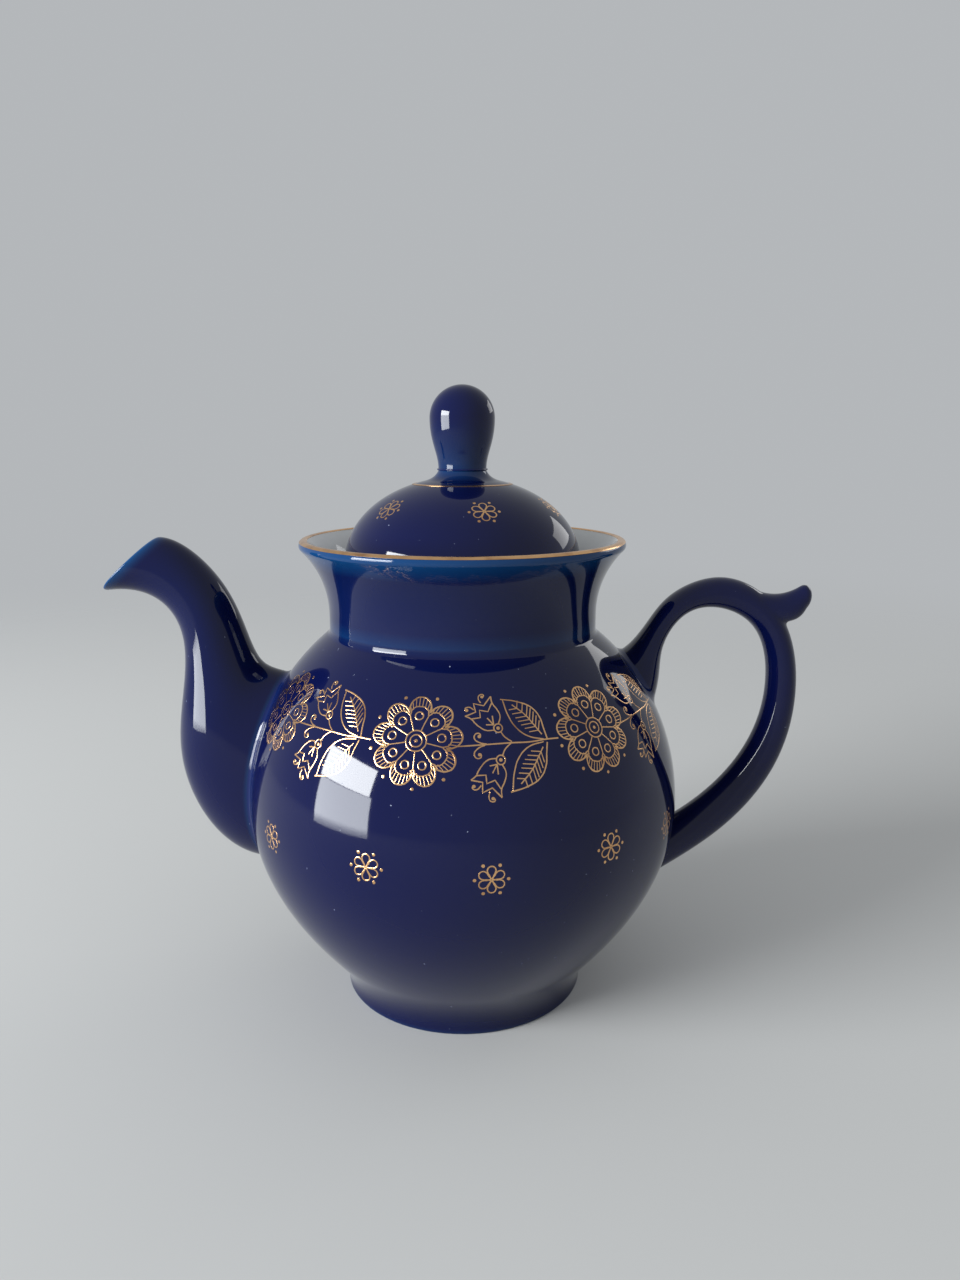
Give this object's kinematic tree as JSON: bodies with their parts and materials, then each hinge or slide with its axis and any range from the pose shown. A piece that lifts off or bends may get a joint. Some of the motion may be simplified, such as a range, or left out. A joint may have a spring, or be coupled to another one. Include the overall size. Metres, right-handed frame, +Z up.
{
  "type": "porcelain teapot",
  "caption": "Round cobalt-glazed porcelain teapot with gold flower ornament, S-curved spout, ear handle with thumb spur, flared collar and lift-off domed lid.",
  "frame": {"origin": "on the axis of the vessel, at the level that the foot ring stands on", "axes": "+Z up along the axis of the vessel, +X from the spout towards the handle, spout and handle in the XZ plane"},
  "size_m": [0.2777, 0.17, 0.2405],
  "materials": {
    "cobalt_glaze": "deep cobalt blue glaze, very glossy, white glaze inside",
    "glazed_seam": "slip seam under the cobalt glaze, a little lighter where the glaze is thin",
    "gilding": "fired liquid gold, slightly worn"
  },
  "bodies": {
    "pot": {"vessel": "cobalt_glaze", "spout": "cobalt_glaze", "handle": "cobalt_glaze", "spout_luting": "glazed_seam", "handle_upper_luting": "glazed_seam", "handle_lower_luting": "glazed_seam", "rim_gilding": "gilding"},
    "lid": {"lid": "cobalt_glaze", "knob": "cobalt_glaze", "knob_luting": "glazed_seam", "lid_gilding": "gilding"}
  },
  "joints": [
    {"name": "lid_lift", "type": "slide", "parent": "pot", "child": "lid", "axis": [0, 0, 1], "range_m": [0, 0.06]}
  ]
}
